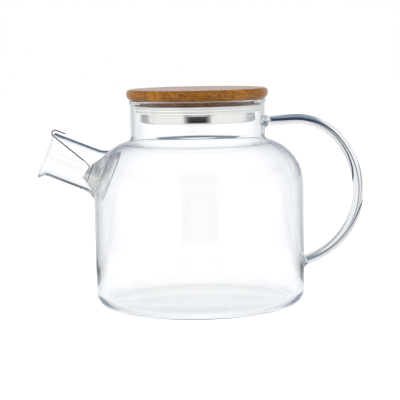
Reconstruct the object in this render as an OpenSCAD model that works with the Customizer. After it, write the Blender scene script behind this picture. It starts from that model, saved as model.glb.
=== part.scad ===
// Blown glass teapot: a flame-worked pot with a straight spout and a bent rod handle,
// a bamboo lid with a silicone seal and a pressed steel cap, and a coiled wire filter.
// Origin at the centre of the base, on the table. +Z up, spout towards -X, handle towards +X.

/* [Vessel] */
// Outer diameter of the body, just below the shoulder
body_d = 135; // [128:1:142]
// Outer diameter of the neck
neck_d = 86.4; // [83:0.2:90]
// Height of the neck, from the shoulder's fillet to the rim
neck_h = 23; // [22:0.2:29]
// Height at which the wall starts to turn in to the shoulder
shoulder_z = 77.3; // [73:0.1:80]
// Radius of the shoulder
shoulder_r = 30; // [28:0.5:32]
// Hollow radius where the shoulder meets the neck
neck_fillet = 3; // [2:0.5:4]
// Thickness of the blown wall
wall = 2; // [1.6:0.1:2.4]
// Thickness of the bottom
bottom_t = 2.8; // [2.2:0.1:3.6]
// Radius of the corner between the wall and the bottom
corner_r = 9.5; // [7:0.5:13]
// How much smaller the radius of the wall is at the corner than at the shoulder
taper = 0.4; // [0.1:0.1:0.8]
// Width of the flat ring that the pot stands on
foot_w = 3; // [2:0.5:5]
// Rise of the bottom in the middle of that ring
punt_h = 1.4; // [0.8:0.1:2.4]
// How far the rim turns outwards
rim_flare = 0.9; // [0.4:0.1:1.4]
// Height over which the rim turns outwards
rim_flare_h = 4; // [3:0.5:6]

/* [Spout] */
// Outer diameter of the spout tube
spout_d = 27.8; // [25:0.2:29]
// Wall of the spout tube
spout_wall = 1.8; // [1.4:0.1:2.2]
// Rise of the spout above level, in degrees
spout_angle = 22; // [19:1:25]
// Height above the start of the shoulder at which the spout's axis passes through the body's side
spout_rise = 10.4; // [9:0.1:12.5]
// Length of the tube, from its weld to its mouth
spout_len = 33.9; // [30:0.1:40]
// Distance of the weld inside the body's side, along the spout's axis
weld_depth = 2.1; // [1.6:0.1:2.4]
// Half angle of the collar that is pulled out of the body to meet the tube, in degrees
collar_angle = 33; // [30:1:35]
// Length of tube that is opened into the pouring lip
lip_len = 4; // [3:0.1:6]
// Angle at which the lip turns down at the bottom, in degrees
lip_drop = 45; // [35:1:50]
// Angle at which the lip opens at the top, in degrees
lip_rise = 4; // [3:0.5:8]

/* [Handle] */
// Diameter of the handle's glass rod
rod_d = 6.8; // [6:0.1:8]
// Distance below the rim at which the handle leaves the neck
handle_drop = 14.6; // [13:0.2:15.4]
// Rise of the handle where it leaves the neck, in degrees
handle_rise = 2; // [0:1:5]
// Length of the straight stretch at the top of the handle
handle_leg = 16.4; // [12:0.1:20]
// Distance of the rod's centre from the pot's axis where the handle is widest
handle_reach = 102.7; // [99:0.1:108]
// Distance below its upper end at which the handle is widest
handle_fall = 45.4; // [40:0.1:50]
// Height at which the handle meets the body
handle_low_z = 27; // [25:0.5:32]
// Slope of the handle where it meets the body, in degrees
handle_slope = 17; // [12:1:22]
// Height of the glass gathers that the rod is fused to
gather_h = 2; // [1.6:0.1:2.6]
// Radius of a gather where it spreads on the wall
gather_r = 7; // [6:0.5:8]
// Height of the bulge that fusing a gather leaves on the inner wall
bulge_h = 0.6; // [0.4:0.1:0.8]

/* [Lid] */
// Thickness of the bamboo disc
lid_t = 6.8; // [6.8:0.1:8]
// How far the disc reaches past the rim
lid_overhang = 1.3; // [0.5:0.1:3]
// Rounding of the disc's upper edge
lid_edge_r = 2.4; // [1.5:0.1:2.6]
// Height of the longer rounding under the disc's edge
lid_under_h = 4; // [3:0.1:4.2]
// Width of that rounding
lid_under_w = 3; // [2:0.1:3.2]
// Gap between the bamboo plug and the inside of the neck
plug_gap = 4.5; // [4:0.1:5.5]
// Height of the plug above the seal
plug_h = 3.3; // [2.5:0.1:4.5]
// Depth of the seal's groove in the plug
groove_d = 2.5; // [2:0.1:3.5]
// Height of the silicone seal
seal_h = 4.7; // [4:0.1:5.5]
// Number of fins on the seal
seal_fins = 3; // [2:1:3]
// Thickness of a fin
fin_t = 0.7; // [0.5:0.1:0.8]
// Length of a fin
fin_l = 2.3; // [1.5:0.1:2.8]
// Height of the steel cap
cap_h = 6.4; // [5:0.1:9]
// Thickness of the cap's sheet
cap_t = 0.5; // [0.4:0.1:0.8]
// Outer rounding of the cap's lower edge
cap_edge_r = 1.7; // [1.2:0.1:2.5]

/* [Filter] */
// Diameter of the filter's wire
wire_d = 0.8; // [0.6:0.1:0.9]
// Turns in the coil
coil_turns = 15; // [12:1:16]
// Distance of the coil's wide end inside the weld
coil_depth = 9.9; // [8.5:0.1:10.5]
// Distance of the coil's small end beyond the weld
coil_tip = 5.7; // [4:0.1:7]
// Radius of the coil's last turn
tip_r = 4.4; // [3.5:0.1:5]
// Half angle of the coil at its small end, in degrees
tip_angle = 48; // [45:1:55]
// How far the small end hangs below the spout's axis
tip_sag = 2.4; // [0:0.1:3]
// Tilt of the small end, in degrees
tip_tilt = 12; // [0:1:15]
// Radius of the hook's bend
hook_r = 2.1; // [2:0.1:2.6]
// Length of the hook's outer leg
hook_leg = 6; // [4:0.1:10]

/* [Fits] */
// Gap between the disc and the rim
seat_gap = 0.1; // [0.05:0.05:0.3]
// Running fit of the seal in the neck and of the plug in the seal
seal_fit = 0.05; // [0.03:0.01:0.1]
// Gap between the cap and the bamboo inside it
cap_fit = 0.05; // [0.02:0.01:0.1]
// Gap between the coil and the glass round it
coil_gap = 0.3; // [0.25:0.05:0.4]

/* [Hidden] */
$fn = 96;

GLASS = [0.86, 0.91, 0.92, 0.45];
BAMBOO = [0.66, 0.44, 0.20];
SILICONE = [0.90, 0.91, 0.89];
STEEL = [0.74, 0.75, 0.76];
WIRE = [0.55, 0.56, 0.52];

// The vessel
body_r = body_d / 2;
neck_r = neck_d / 2;
corner_c = body_r - taper - corner_r;
shoulder_c = body_r - shoulder_r;
fillet_c = neck_r + neck_fillet;
shoulder_end = acos((fillet_c - shoulder_c) / (shoulder_r + neck_fillet));
fillet_z = shoulder_z + (shoulder_r + neck_fillet) * sin(shoulder_end);
rim_z = fillet_z + neck_h;
rim_r = neck_r + rim_flare;
rim_c = rim_r - wall / 2;
foot_in = corner_c - foot_w;
neck_bore_r = neck_r - wall;
// The blown pot is one piece of glass, kept as four level bands, so that each one is a simple hollow
bottom_top = corner_r + 2;
neck_low = fillet_z + 1;

// The spout, along its own axis: +Z out of the mouth, +X up, and the body's side at 0
spout_z = shoulder_z + spout_rise;
spout_r = spout_d / 2;
spout_bore_r = spout_r - spout_wall;
weld = -weld_depth;
mouth = weld + spout_len;
collar_slope = tan(collar_angle);
collar_in = weld - coil_depth - 3.5;
collar_out_r = spout_r + (weld - collar_in) * collar_slope;
collar_bore_r = spout_bore_r + (weld - collar_in) * collar_slope;
// The lip is a cone about a tilted axis, which leaves the tube at the top and the bottom together
lip_start = mouth - lip_len;
lip_half = (lip_drop + lip_rise) / 2;
lip_tilt = (lip_drop - lip_rise) / 2;
// The collar spreads over the shoulder's band alone, which starts below it
wall_top = spout_z - spout_r - 14;

// The handle, in the XZ plane
handle_top_z = rim_z - handle_drop;
handle_mid_z = handle_top_z - handle_fall;
handle_top = [neck_r + gather_h * cos(handle_rise), handle_top_z + gather_h * sin(handle_rise)];
handle_turn = handle_top + handle_leg * [cos(handle_rise), sin(handle_rise)];
handle_side = [handle_reach, handle_mid_z];
wall_r_low = body_r - taper * (shoulder_z - handle_low_z) / (shoulder_z - corner_r);
handle_foot = [wall_r_low, handle_low_z] + gather_h * [cos(handle_slope), sin(handle_slope)];
// Two bends of the rod meet with a step too small to feel, the slimmer one reaching into the other
splice_step = 0.01;
splice_l = 0.05;
gather_neck_r = rod_d / 2 + 0.5;
gather_root = 2;
bulge_w = 4.8;

// The lid, from the top down
disc_z = rim_z + seat_gap;
lid_r = rim_r + lid_overhang;
plug_r = neck_bore_r - plug_gap;
groove_r = plug_r - groove_d;
groove_top = disc_z - plug_h;
groove_bottom = groove_top - seal_h - 2 * seal_fit;
core_r = plug_r - 0.1;
cap_r = core_r + cap_fit + cap_t;
cap_bottom = groove_bottom - cap_h;
fin_tip_r = neck_bore_r - seal_fit;
seal_body_r = fin_tip_r - fin_l;
seal_bore_r = groove_r + seal_fit;

// The filter's coil follows the collar and then closes towards its small end
wire_r = wire_d / 2;
coil_margin = (coil_gap + wire_r) / cos(collar_angle);
coil_weld_r = spout_bore_r - coil_margin;
coil_start = [coil_weld_r + coil_depth * collar_slope, weld - coil_depth];
coil_end = [tip_r, weld + coil_tip];
coil_bend_z = (coil_end[0] + tan(tip_angle) * coil_end[1] - coil_weld_r - collar_slope * weld)
              / (tan(tip_angle) - collar_slope);
coil_bend = [coil_weld_r + collar_slope * (weld - coil_bend_z), coil_bend_z];
coil_steps = 28;
coil_last_turn = -40;
wire_sides = 8;
// The tail runs straight from the top of the last turn to the hook over the mouth's upper edge
tail_root = [coil_end[1] - tip_r * tan(tip_tilt) + 0.3, tip_r - tip_sag];
hook_c = [mouth - 0.6, spout_bore_r - 0.3 - wire_r + hook_r];
tail_span = hook_c - tail_root;
tail_angle = atan2(tail_span[1], tail_span[0]) - asin(hook_r / norm(tail_span));
tail_lead = 2.6;
hook_steps = 12;

// Points on an arc round [x, y] from angle a to angle b
function arc(x, y, r, a, b, steps) =
    [for (i = [0:steps]) let (t = a + (b - a) * i / steps) [x + r * cos(t), y + r * sin(t)]];

// Points on an upright oval round [x, y], w wide and h high from its centre
function oval(x, y, w, h, a, b, steps) =
    [for (i = [0:steps]) let (t = a + (b - a) * i / steps) [x + w * cos(t), y + h * sin(t)]];

// A parabola from height h on the axis down to nothing at radius r
function dome(r, h, z, steps) =
    [for (i = [0:steps]) [r * i / steps, z + h * (1 - pow(i / steps, 2))]];

// The rim's turn outwards, which starts upright on a wall of radius r
function flare(r, steps) =
    [for (i = [0:steps]) let (t = i / steps)
        [r + rim_flare * t * t, rim_z - wall / 2 - rim_flare_h * (1 - t)]];

function reverse(list) = [for (i = [len(list) - 1:-1:0]) list[i]];

function unit(v) = v / norm(v);

function lerp(a, b, t) = a + (b - a) * t;

// The vessel's outside, filled solid
module vessel_solid() {
    rotate_extrude()
        polygon(concat(
            dome(foot_in, punt_h, 0, 8),
            arc(corner_c, corner_r, corner_r, -90, 0, 9),
            arc(shoulder_c, shoulder_z, shoulder_r, 0, shoulder_end, 18),
            arc(fillet_c, fillet_z, neck_fillet, 180 + shoulder_end, 180, 6),
            flare(neck_r, 5),
            arc(rim_c, rim_z - wall / 2, wall / 2, 10, 90, 5),
            [[0, rim_z]]));
}

// The space inside, open at the top
module vessel_cavity() {
    inner_r = corner_r - wall;
    rotate_extrude()
        polygon(concat(
            dome(foot_in, punt_h, bottom_t, 8),
            arc(corner_c, bottom_t + inner_r, inner_r, -90, 0, 9),
            arc(shoulder_c, shoulder_z, shoulder_r - wall, 0, shoulder_end, 18),
            arc(fillet_c, fillet_z, neck_fillet + wall, 180 + shoulder_end, 180, 6),
            flare(neck_bore_r, 5),
            arc(rim_c, rim_z - wall / 2, wall / 2, 170, 90, 5),
            [[rim_c, rim_z + 1], [0, rim_z + 1]]));
}

// Children are placed with Z along the spout's axis, from the body's side outwards
module on_spout() {
    translate([-body_r, 0, spout_z]) rotate([0, spout_angle - 90, 0]) children();
}

// Children are placed with Z along the handle's end, out of the wall
module on_neck() {
    translate([neck_r, 0, handle_top_z]) rotate([0, 90 - handle_rise, 0]) children();
}

module on_side() {
    translate([wall_r_low, 0, handle_low_z]) rotate([0, 90 - handle_slope, 0]) children();
}

// A shallow bulge on the inside of a wall of radius r, at height z
module bulge(r, z) {
    ball_r = (bulge_w * bulge_w + bulge_h * bulge_h) / (2 * bulge_h);
    intersection() {
        translate([r - bulge_h + ball_r, 0, z]) sphere(ball_r);
        translate([r - bulge_h - 1, -bulge_w, z - bulge_w])
            cube([bulge_h + 1 + wall / 2, 2 * bulge_w, 2 * bulge_w]);
    }
}

// The part of its children between two heights
module band(low, high) {
    intersection() {
        union() children();
        translate([0, 0, low]) cylinder(r = body_r + 40, h = high - low);
    }
}

// The blown wall without its spout collar
module vessel_wall() {
    difference() {
        vessel_solid();
        vessel_cavity();
    }
}

module glass_bottom() {
    color(GLASS) band(-1, bottom_top) vessel_wall();
}

module glass_wall() {
    color(GLASS) band(bottom_top, wall_top) {
        vessel_wall();
        bulge(wall_r_low - wall, handle_low_z);
    }
}

module glass_shoulder() {
    color(GLASS) band(wall_top, neck_low) difference() {
        union() {
            vessel_solid();
            on_spout() translate([0, 0, collar_in])
                cylinder(r1 = collar_out_r, r2 = spout_r, h = weld - collar_in);
        }
        vessel_cavity();
        on_spout() translate([0, 0, collar_in])
            cylinder(r1 = collar_bore_r, r2 = spout_bore_r, h = weld - collar_in);
        on_spout() translate([0, 0, weld - 0.5]) cylinder(r = spout_bore_r, h = 1);
    }
}

module glass_neck() {
    color(GLASS) band(neck_low, rim_z + 1) {
        vessel_wall();
        bulge(neck_bore_r, handle_top_z);
    }
}

// The cone that opens a tube of radius r into the pouring lip
module lip_cone(r, start) {
    back = 2 * r / (tan(lip_drop) + tan(lip_rise));
    reach = 2 * (back + lip_len);
    intersection() {
        translate([r - back * tan(lip_rise), 0, start - back])
            rotate([0, -lip_tilt, 0])
                cylinder(r1 = 0, r2 = reach * tan(lip_half), h = reach);
        translate([-2 * r, -2 * r, start - lip_len / 2])
            cube([4 * r, 4 * r, mouth - start + lip_len / 2]);
    }
}

module spout_tube() {
    color(GLASS) on_spout() difference() {
        union() {
            translate([0, 0, weld]) cylinder(r = spout_r, h = spout_len);
            lip_cone(spout_r, lip_start);
        }
        translate([0, 0, weld - 1]) cylinder(r = spout_bore_r, h = spout_len + 2);
        translate([0, 0, 0.01]) lip_cone(spout_bore_r, lip_start + spout_wall * tan(lip_half / 2));
    }
}

// The point where two arcs meet that join p, heading u, to q, heading v
function biarc_joint(p, u, q, v) =
    let (w = q - p, k = 2 * (1 - u * v), s = w * (u + v), d = (sqrt(s * s + k * (w * w)) - s) / k)
    (p + q + d * (u - v)) / 2;

// The centre of the arc that leaves p along u and passes through q
function arc_centre(p, u, q) =
    let (n = [-u[1], u[0]], w = q - p) p + n * (w * w) / (2 * (n * w));

// Rod bent clockwise from p to q round c, slimmer by the step and longer at both ends when it is inset
module rod_arc(p, q, c, inset) {
    r = norm(p - c);
    grow = inset ? atan2(splice_l, r) : 0;
    start = atan2(q[1] - c[1], q[0] - c[0]) - grow;
    turn = (atan2(p[1] - c[1], p[0] - c[0]) - start + 360) % 360 + grow;
    translate([c[0], 0, c[1]]) rotate([90, 0, 0]) rotate([0, 0, start])
        rotate_extrude(angle = turn) translate([r, 0])
            circle(r = rod_d / 2 - (inset ? splice_step : 0), $fn = 48);
}

// Rod from p, heading u, to q, heading v
module rod_biarc(p, u, q, v) {
    m = biarc_joint(p, u, q, v);
    rod_arc(p, m, arc_centre(p, u, m), true);
    rod_arc(m, q, arc_centre(q, v, m), false);
}

module handle_rod() {
    down = [0, -1];
    color(GLASS) union() {
        translate([handle_top[0], 0, handle_top[1]]) rotate([0, 90 - handle_rise, 0])
            cylinder(d = rod_d, h = handle_leg, $fn = 48);
        rod_biarc(handle_turn, [cos(handle_rise), sin(handle_rise)], handle_side, down);
        rod_biarc(handle_side, down, handle_foot, [-cos(handle_slope), -sin(handle_slope)]);
    }
}

// A gather of glass that spreads from the rod's end on to the wall
module gather() {
    slope = gather_h / (gather_r - gather_neck_r);
    rotate_extrude()
        polygon([[0, -gather_root], [gather_r + gather_root / slope, -gather_root],
                 [gather_neck_r, gather_h - 0.4], [rod_d / 2, gather_h], [0, gather_h]]);
}

module upper_handle_gather() {
    color(GLASS) difference() {
        on_neck() gather();
        vessel_solid($fn = 384);
    }
}

module lower_handle_gather() {
    color(GLASS) difference() {
        on_side() gather();
        vessel_solid($fn = 384);
    }
}

module bamboo_lid() {
    core_bottom = cap_bottom + cap_t + cap_fit;
    core_edge_r = cap_edge_r - cap_t;
    color(BAMBOO) rotate_extrude()
        polygon(concat(
            [[0, core_bottom]],
            arc(core_r - core_edge_r, core_bottom + core_edge_r, core_edge_r, -90, 0, 4),
            [[core_r, groove_bottom], [groove_r, groove_bottom],
             [groove_r, groove_top], [plug_r, groove_top], [plug_r, disc_z]],
            oval(lid_r - lid_under_w, disc_z + lid_under_h, lid_under_w, lid_under_h, -90, 0, 10),
            arc(lid_r - lid_edge_r, disc_z + lid_t - lid_edge_r, lid_edge_r, 0, 90, 8),
            [[0, disc_z + lid_t]]));
}

module lid_seal() {
    bottom = groove_bottom + seal_fit;
    pitch = (seal_h - fin_t) / (seal_fins - 1);
    color(SILICONE) rotate_extrude()
        polygon(concat(
            [[seal_bore_r, bottom]],
            [for (i = [0:seal_fins - 1], p = [[seal_body_r, 0], [fin_tip_r, fin_t * 0.2],
                                              [fin_tip_r, fin_t * 0.8], [seal_body_r, fin_t]])
                [p[0], bottom + i * pitch + p[1]]],
            [[seal_bore_r, bottom + seal_h]]));
}

module lid_steel_cap() {
    inner_r = cap_r - cap_t;
    inner_edge = cap_edge_r - cap_t;
    color(STEEL) rotate_extrude()
        polygon(concat(
            [[0, cap_bottom]],
            arc(cap_r - cap_edge_r, cap_bottom + cap_edge_r, cap_edge_r, -90, 0, 6),
            [[cap_r, groove_bottom], [inner_r, groove_bottom]],
            arc(inner_r - inner_edge, cap_bottom + cap_t + inner_edge, inner_edge, 0, -90, 6),
            [[0, cap_bottom + cap_t]]));
}

// The wire's centre line on the coil, at t from 0 at the wide end to 1 at the small end
function coil_point(t) =
    let (rz = lerp(lerp(coil_start, coil_bend, t), lerp(coil_bend, coil_end, t), t),
         a = coil_last_turn - 360 * coil_turns * (1 - t))
    [rz[0] * cos(a) - tip_sag * pow(t, 3), rz[0] * sin(a),
     rz[1] - rz[0] * cos(a) * tan(tip_tilt * t * t)];

// A smooth join from p, heading u, to q, heading v
function join_point(p, u, q, v, t) =
    let (k = norm(q - p)) lerp(lerp(p + u * k * t / 2, q, t), lerp(p, q - v * k * (1 - t) / 2, t), t);

// The whole wire: coil, bend, straight tail, and the hook with its outer leg
function wire_path() =
    let (coil = [for (i = [0:coil_turns * coil_steps]) coil_point(i / (coil_turns * coil_steps))],
         last = coil[len(coil) - 1],
         heading = unit(last - coil[len(coil) - 2]),
         along = [sin(tail_angle), 0, cos(tail_angle)],
         tail = [tail_root[1], 0, tail_root[0]] + tail_lead * along,
         hook = [for (i = [0:hook_steps])
             let (a = lerp(tail_angle - 90, 90, i / hook_steps))
             [hook_c[1] + hook_r * sin(a), 0, hook_c[0] + hook_r * cos(a)]],
         leg = hook[hook_steps] - [0, 0, hook_leg])
    concat(coil, [for (i = [1:5]) join_point(last, heading, tail, along, i / 6)],
           [tail, lerp(tail, hook[0], 0.5)], hook, [leg]);

// A round wire of wire_sides flats, swept along a path without twist
module wire(path) {
    n = len(path);
    tangent = [for (i = [0:n - 1]) unit(path[min(i + 1, n - 1)] - path[max(i - 1, 0)])];
    side0 = unit(cross(tangent[0], [0, 0, 1]));
    side = [for (i = 0, u = side0; i < n;
                 i = i + 1, u = i < n ? unit(u - (u * tangent[i]) * tangent[i]) : u) u];
    points = [for (i = [0:n - 1], j = [0:wire_sides - 1])
        let (a = 360 * j / wire_sides)
        path[i] + wire_r * (cos(a) * side[i] + sin(a) * cross(tangent[i], side[i]))];
    walls = [for (i = [0:n - 2], j = [0:wire_sides - 1])
        let (a = i * wire_sides + j, b = i * wire_sides + (j + 1) % wire_sides)
        each [[a, a + wire_sides, b + wire_sides], [a, b + wire_sides, b]]];
    polyhedron(points, concat(walls,
        [[for (j = [0:wire_sides - 1]) j]],
        [[for (j = [wire_sides - 1:-1:0]) (n - 1) * wire_sides + j]]));
}

module spout_filter() {
    color(WIRE) on_spout() wire(wire_path());
}

glass_bottom();
glass_wall();
glass_shoulder();
glass_neck();
spout_tube();
handle_rod();
upper_handle_gather();
lower_handle_gather();
bamboo_lid();
lid_seal();
lid_steel_cap();
spout_filter();
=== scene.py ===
"""Looks for the glass teapot: blown glass, bamboo lid, silicone seal, steel cap and wire filter."""

import math

import bpy
import numpy as np
from mathutils import Matrix


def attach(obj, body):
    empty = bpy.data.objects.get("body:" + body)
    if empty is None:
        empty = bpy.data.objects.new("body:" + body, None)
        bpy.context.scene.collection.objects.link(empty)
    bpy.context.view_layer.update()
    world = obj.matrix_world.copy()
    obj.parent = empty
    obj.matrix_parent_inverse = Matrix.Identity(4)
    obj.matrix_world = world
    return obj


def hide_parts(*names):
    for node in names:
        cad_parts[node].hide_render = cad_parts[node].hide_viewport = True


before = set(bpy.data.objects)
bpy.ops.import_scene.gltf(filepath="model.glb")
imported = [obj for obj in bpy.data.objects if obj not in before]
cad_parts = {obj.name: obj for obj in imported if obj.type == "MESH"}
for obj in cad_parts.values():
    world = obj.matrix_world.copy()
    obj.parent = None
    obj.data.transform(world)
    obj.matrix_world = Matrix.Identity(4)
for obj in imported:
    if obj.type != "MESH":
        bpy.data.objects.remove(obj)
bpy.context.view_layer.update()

MM = 0.001
DEG = math.pi / 180

# Sizes are in millimetres, as in the part's source. make_piece turns them to metres.

# Pot: outer radii, wall, bottom, and the hollow punt under it
BODY_R, NECK_R, WALL, BOTTOM = 67.5, 43.2, 2.0, 2.8
TAPER, CORNER_R, FOOT_IN, PUNT = 0.4, 9.5, 54.6, 1.4
CORNER_C = BODY_R - TAPER - CORNER_R

# Shoulder: an arc from the wall to the neck's hollow fillet, which starts at SHOULDER_END
SHOULDER_Z, SHOULDER_R, FILLET = 77.3, 30.0, 3.0
SHOULDER_C = BODY_R - SHOULDER_R
FILLET_C = NECK_R + FILLET
SHOULDER_END = math.acos((FILLET_C - SHOULDER_C) / (SHOULDER_R + FILLET))
FILLET_Z = SHOULDER_Z + (SHOULDER_R + FILLET) * math.sin(SHOULDER_END)

# Neck, with a rim that flares a little and is fire polished to a half round
RIM_Z = FILLET_Z + 23.0
RIM_ROUND = WALL / 2
FLARE, FLARE_H = 0.9, 4.0

# Spout: a tube about an axis that leans back, welded on at WELD along it and cut at MOUTH
SPOUT_R, SPOUT_WALL, SPOUT_ANGLE = 13.9, 1.8, 22 * DEG
BORE_R = SPOUT_R - SPOUT_WALL
SPOUT_Z = SHOULDER_Z + 10.4
WELD, MOUTH, LIP = -2.1, 31.8, 4.0

# The spout's lip opens by LIP_TOP above and LIP_LOW below, and its cut edge is melted round.
# A low bead stands where the tube is fused on.
LIP_TOP, LIP_LOW = 4 * DEG, 45 * DEG
LIP_BEND, LIP_LEAD, EDGE_H, EDGE_BULGE = 1.6, 2, 0.8, 0.85
BEAD_H, BEAD_AT, BEAD_W = 0.18, 3.2, 0.7

# Collar: a cone of the pot's glass, pulled out to meet the tube
COLLAR, COLLAR_BEND = 33 * DEG, 4.0
COLLAR_REACH, COLLAR_REACH_IN = 20.8, 19.0
JOIN_TOP, JOIN_MORE_BELOW = 1.2, 0.9

# Handle: a rod through the point HANDLE_SIDE furthest out, fused on by a gather at each end,
# which leaves a low bulge inside
ROD_R, ROD_STRAIGHT, GATHER_H = 3.4, 16.4, 2.0
HANDLE_TOP = RIM_Z - 14.6
HANDLE_LOW = 27.0
HANDLE_SIDE = np.array([102.7, HANDLE_TOP - 45.4])
RISE, SLOPE = 2 * DEG, 17 * DEG
TOP_GATHER_R, LOW_GATHER_R = 7.4, 6.8
BULGE_H, BULGE_R = 0.5, 4.2

# Windows in the pot's net for the spout and the handle: heights, and columns to each side
SPOUT_ROWS, SPOUT_ROWS_IN, SPOUT_HALF = (62, 105.4), (62, 103.2), 14
LOW_ROWS, TOP_HALF_ROWS, HANDLE_HALF = (14, 40), 8.2, 9

# Lid: a disc with an oval underside, a plug with a groove for the seal, and a cap over its end,
# with GAP between pieces
DISC_Z = RIM_Z + 0.1
LID_R, LID_T, LID_EDGE = NECK_R + FLARE + 1.3, 6.8, 2.4
LID_UNDER = (3.0, 4.0)
PLUG_R = NECK_R - WALL - 4.5
GROOVE_R, CORE_R = PLUG_R - 2.5, PLUG_R - 0.1
GROOVE_TOP = DISC_Z - 3.3
SEAL_H, FIN_T, FIN_L = 4.7, 0.7, 2.3
FIN_TIP_R, FIN_TAPER, FIN_TIP_T = 0.23, 0.35, (0.12, 0.58)
GROOVE_LOW = GROOVE_TOP - SEAL_H - 0.1
CAP_R, CAP_T, CAP_EDGE, CAP_Z = CORE_R + 0.55, 0.5, 1.7, GROOVE_LOW - 6.4
CAP_ROUND = CAP_T / 2
GAP = 0.05

# Wire filter: a cone of turns in the collar, a straight tail, and a hook over the mouth
WIRE_R, WIRE_GAP = 0.4, 0.3
COIL_TURNS, COIL_START = 15, -40
COIL_BELOW, COIL_ABOVE, COIL_TIP_R = 9.9, 5.7, 4.4
COIL_STEEP, COIL_TILT, COIL_SHIFT = 48 * DEG, 12 * DEG, 2.4
TAIL_RAISE, TAIL_UP, TAIL_BEND = 0.3, 2.0, 2.6
HOOK_R, HOOK_IN, HOOK_LEG = 2.1, 0.6, 6.0


# ---------- meshes ----------


class Skin:
    """Points and faces of one piece. Patches share the numbers of the points where they meet."""

    def __init__(self):
        self.points, self.faces, self.count = [], [], 0

    def add(self, points):
        """Adds an array of points, and returns their numbers in the array's own shape."""
        points = np.asarray(points, float)
        ids = np.arange(self.count, self.count + points[..., 0].size)
        self.points.append(points.reshape(-1, 3))
        self.count += ids.size
        return ids.reshape(points.shape[:-1])

    def net(self, ids, hole=None):
        """Faces between the rows of ids, whose last column joins the first, but for the holes."""
        right = np.roll(ids, -1, axis=1)
        quads = np.stack([ids[:-1], right[:-1], right[1:], ids[1:]], axis=-1)
        keep = np.ones(quads.shape[:2], bool) if hole is None else ~hole
        self.faces += quads[keep].tolist()

    def cap(self, ring, point, inwards=False):
        """A fan of triangles from a ring of numbers to one point."""
        tip = self.add(np.array([point]))[0]
        ring = ring[::-1] if inwards else ring
        after = np.roll(ring, -1)
        self.faces += np.stack([ring, after, np.full(ring.shape, tip)], axis=-1).tolist()


def make_piece(name, skin, material, body, slot, stands_for, crease=60):
    """The mesh object of a skin, smooth but where faces meet at more than crease degrees."""
    mesh = bpy.data.meshes.new(name)
    points = np.concatenate(skin.points) * MM
    mesh.from_pydata(points.tolist(), [], skin.faces)
    mesh.update()
    mesh.shade_smooth()
    mesh.set_sharp_from_angle(angle=crease * DEG)
    mesh.materials.append(material)
    piece = bpy.data.objects.new(name, mesh)
    bpy.context.scene.collection.objects.link(piece)
    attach(piece, body)
    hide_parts(*stands_for)
    return piece


def revolve(profile, columns):
    """Points of a profile of (radius, height) rows turned about Z, one column for each angle:
    x = radius times cos, y = radius times sin, z = height."""
    turn = np.arange(columns) * 2 * math.pi / columns
    r, z = np.asarray(profile, float).T
    height = np.broadcast_to(z[:, None], (len(r), columns))
    return np.stack([r[:, None] * np.cos(turn), r[:, None] * np.sin(turn), height], axis=-1)


def turned_piece(name, profile, columns, *rest):
    """A solid of revolution from a profile that starts and ends on the axis, where each end is
    closed by a fan, or from a closed profile that stays off the axis."""
    skin = Skin()
    profile = np.asarray(profile, float)
    if profile[0, 0] > 0:
        ids = skin.add(revolve(profile, columns))
        skin.net(np.vstack([ids, ids[:1]]))
    else:
        ids = skin.add(revolve(profile[1:-1], columns))
        skin.net(ids)
        skin.cap(ids[0], [0, 0, profile[0, 1]], inwards=True)
        skin.cap(ids[-1], [0, 0, profile[-1, 1]])
    return make_piece(name, skin, *rest)


def oval(x, y, w, h, a, b, steps):
    """Points on an upright oval round (x, y), w wide and h high from its centre, from a to b
    degrees: the centre plus w times cos and h times sin."""
    t = np.linspace(a, b, steps + 1) * DEG
    return np.stack([x + w * np.cos(t), y + h * np.sin(t)], axis=-1)


def arc(x, y, r, a, b, steps):
    """Points on a circle of radius r round (x, y), from a to b degrees."""
    return oval(x, y, r, r, a, b, steps)


def line(p, q, steps):
    """Points evenly spaced from p to q, both included."""
    return np.linspace(p, q, steps + 1)


def joined(*parts):
    """One profile from several that each start where the last one ends."""
    return np.concatenate([parts[0]] + [p[1:] for p in parts[1:]])


def wall_radius(z, inner):
    """Radius of the pot's wall at height z: a tapered wall, the shoulder's arc, the neck's fillet
    and the neck, each moved in by the wall's thickness for the inner side."""
    t = WALL if inner else 0.0
    end = SHOULDER_Z + (SHOULDER_R - t) * math.sin(SHOULDER_END)
    wall = BODY_R - TAPER * (SHOULDER_Z - z) / (SHOULDER_Z - CORNER_R) - t
    over = np.clip((SHOULDER_R - t) ** 2 - (z - SHOULDER_Z) ** 2, 0, None)
    under = np.clip((FILLET + t) ** 2 - (z - FILLET_Z) ** 2, 0, None)
    shoulder = SHOULDER_C + np.sqrt(over)
    fillet = FILLET_C - np.sqrt(under)
    neck = np.full_like(z, NECK_R - t)
    above = np.where(z < end, shoulder, np.where(z < FILLET_Z, fillet, neck))
    return np.where(z < SHOULDER_Z, wall, above)


def wall_rows(z0, z1, steps, inner, even=False):
    """Profile rows on the wall from height z0 to z1, spaced evenly in height, or along the wall
    if even: its length is summed up over many short steps, and cut into equal parts."""
    short_steps = 400
    z = np.linspace(z0, z1, short_steps if even else steps + 1)
    p = np.stack([wall_radius(z, inner), z], axis=-1)
    if even:
        s = np.concatenate([[0], np.cumsum(np.hypot(*np.diff(p, axis=0).T))])
        z = np.interp(np.linspace(0, s[-1], steps + 1), s, z)
        p = np.stack([wall_radius(z, inner), z], axis=-1)
    return p


def axes_at(x, z, along, up, side):
    """Axes for what is fused to the pot: their origin in the XZ plane, the way along and the way
    up as (x, z), and the way to the side as a sign of Y."""
    ways = (np.array([along[0], 0, along[1]]), np.array([up[0], 0, up[1]]))
    return np.array([x, 0, z]), *ways, np.array([0.0, side, 0])


def on_axes(axes, away, up, side):
    """Points from distances along a set of axes, up and to the side."""
    origin, along, north, east = axes
    return origin + away[..., None] * along + up[..., None] * north + side[..., None] * east


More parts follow.
